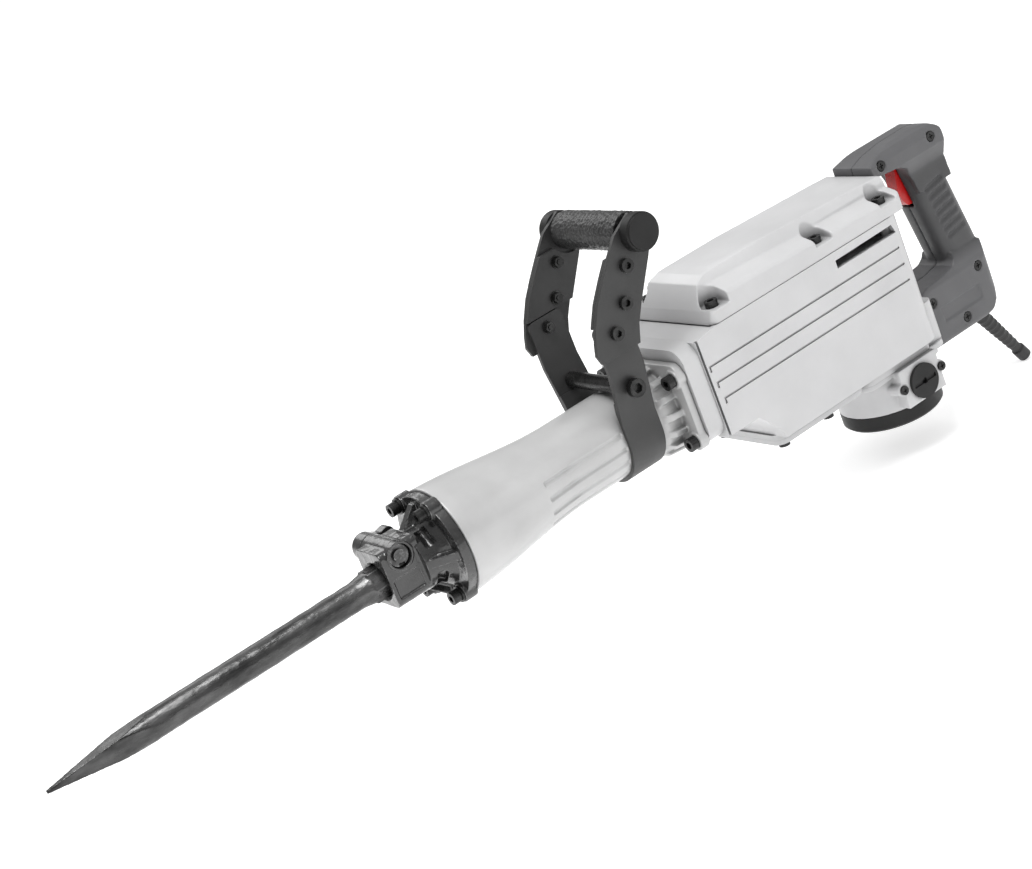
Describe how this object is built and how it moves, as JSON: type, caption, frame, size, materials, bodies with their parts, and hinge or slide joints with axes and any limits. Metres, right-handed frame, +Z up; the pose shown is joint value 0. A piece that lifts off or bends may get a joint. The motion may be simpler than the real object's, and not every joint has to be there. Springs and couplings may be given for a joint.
{
  "type": "electric demolition hammer",
  "caption": "Heavy electric demolition hammer with a bull point chisel, a D rear handle with trigger, a swivelling side handle and an upright motor driving a crank, piston and striker.",
  "frame": {"origin": "centre of the bounding box in plan, at the height of the lowest point, the end of the cord guard", "axes": "+X along the hammer axis towards the chisel tip, +Z up through the top cover and the side handle's grip, +Y to the operator's left side"},
  "size_m": [1.0804, 0.142, 0.3647],
  "materials": {
    "dark_steel": "forged, dark",
    "black_cast": "black paint, worn edges",
    "tool_steel": "ground",
    "bright_steel": "polished",
    "black_screws": "black oxide",
    "silver_cast": "satin silver paint on cast metal",
    "black_sheet": "black powder coat",
    "grip_rubber": "pebbled",
    "seal_rubber": "matte",
    "housing_white": "light grey satin paint",
    "raw_aluminium": "cast",
    "bearing_steel": "ground",
    "gear_steel": "hardened",
    "laminations": "stacked sheet steel",
    "copper_wire": "lacquered copper wire",
    "commutator_copper": "turned copper",
    "black_plastic": "fine texture",
    "carbon": "pressed carbon",
    "handle_plastic": "dark grey, fine texture",
    "red_plastic": "red, satin"
  },
  "bodies": {
    "housing": {"front_cover": "black_cast", "front_bolts": "black_screws", "shank_sleeve": "tool_steel", "cushion_rings": "seal_rubber", "hammer_holder": "tool_steel", "cylinder_tube": "bright_steel", "cylinder_case": "silver_cast", "case_bolts": "black_screws", "crank_case": "housing_white", "crank_bearings": "bearing_steel", "countershaft_bearings": "bearing_steel", "armature_bearings": "bearing_steel", "stator_core": "laminations", "stator_windings": "copper_wire", "brush_holders": "black_plastic", "carbon_brushes": "carbon", "brush_caps": "black_plastic", "gear_cover": "raw_aluminium", "top_cover": "housing_white", "top_cover_screws": "black_screws", "motor_housing": "housing_white", "bottom_cover": "housing_white", "bottom_screws": "black_screws", "tail_cover": "black_plastic", "tail_screws": "black_screws", "handle_left": "handle_plastic", "handle_right": "handle_plastic", "handle_screws": "black_screws", "trigger_switch": "black_plastic", "cord_guard": "seal_rubber"},
    "chisel": {"chisel": "dark_steel"},
    "stop_lever": {"stop_lever": "black_cast", "stop_lever_shaft": "dark_steel"},
    "second_hammer": {"second_hammer": "bright_steel"},
    "striker": {"striker": "bright_steel"},
    "piston": {"piston": "raw_aluminium", "piston_rings": "seal_rubber", "piston_pin": "bright_steel"},
    "connecting_rod": {"connecting_rod": "raw_aluminium"},
    "crankshaft": {"crankshaft": "gear_steel", "final_gear": "gear_steel"},
    "countershaft": {"countershaft": "gear_steel", "first_gear": "gear_steel"},
    "armature": {"armature_shaft": "bright_steel", "armature_core": "laminations", "armature_windings": "copper_wire", "commutator": "commutator_copper", "fan": "black_plastic"},
    "trigger": {"trigger": "red_plastic"},
    "side_handle": {"clamp_strap": "black_sheet", "clamp_bolt": "black_screws", "clamp_nut": "black_screws", "spacer_tube": "black_screws", "upper_arm_left": "black_sheet", "upper_arm_right": "black_sheet", "arm_backing_plates": "black_sheet", "arm_screws": "black_screws", "grip_tube": "tool_steel", "grip_cover": "grip_rubber", "grip_discs": "black_plastic"}
  },
  "joints": [
    {"name": "chisel_float", "type": "slide", "parent": "housing", "child": "chisel", "axis": [1, 0, 0], "range_m": [0, 0.012]},
    {"name": "second_hammer_slide", "type": "slide", "parent": "housing", "child": "second_hammer", "axis": [1, 0, 0], "range_m": [0, 0.012]},
    {"name": "striker_slide", "type": "slide", "parent": "housing", "child": "striker", "axis": [1, 0, 0], "range_m": [-0.03, 0.05]},
    {"name": "stop_lever_turn", "type": "hinge", "parent": "housing", "child": "stop_lever", "pos_m": [0.19618, 0, 0.19375], "axis": [0, 1, 0], "range_deg": [0, 180]},
    {"name": "armature_spin", "type": "hinge", "parent": "housing", "child": "armature", "pos_m": [-0.35482, 0, 0.17475], "axis": [0, 0, 1], "range_deg": [-198, 198]},
    {"name": "countershaft_spin", "type": "hinge", "parent": "housing", "child": "countershaft", "pos_m": [-0.31432, 0, 0.17475], "axis": [0, 0, 1], "range_deg": [-46, 46]},
    {"name": "crank_turn", "type": "hinge", "parent": "housing", "child": "crankshaft", "pos_m": [-0.25832, 0, 0.17475], "axis": [0, 0, 1], "range_deg": [-15.5, 15.5]},
    {"name": "rod_swing", "type": "hinge", "parent": "crankshaft", "child": "connecting_rod", "pos_m": [-0.25832, 0.024, 0.17475], "axis": [0, 0, 1], "range_deg": [-15.5, 15.5]},
    {"name": "piston_slide", "type": "slide", "parent": "housing", "child": "piston", "axis": [1, 0, 0], "range_m": [-0.0066, 0.0066]},
    {"name": "trigger_pull", "type": "hinge", "parent": "housing", "child": "trigger", "pos_m": [-0.46182, 0, 0.25375], "axis": [0, 1, 0], "range_deg": [0, 9], "stiffness_Nm_per_rad": 1.5, "springref_deg": -5.73},
    {"name": "side_handle_swivel", "type": "hinge", "parent": "housing", "child": "side_handle", "pos_m": [-0.05682, 0, 0.17475], "axis": [1, 0, 0], "range_deg": [-180, 180]}
  ],
  "couplings": [
    {"joint": "second_hammer_slide", "follows": "chisel_float", "ratio": 1},
    {"joint": "countershaft_spin", "follows": "armature_spin", "ratio": -0.22727},
    {"joint": "crank_turn", "follows": "armature_spin", "ratio": 0.075758},
    {"joint": "rod_swing", "follows": "armature_spin", "ratio": -0.075758},
    {"joint": "piston_slide", "follows": "armature_spin", "m_per_rad": -0.0018182}
  ]
}
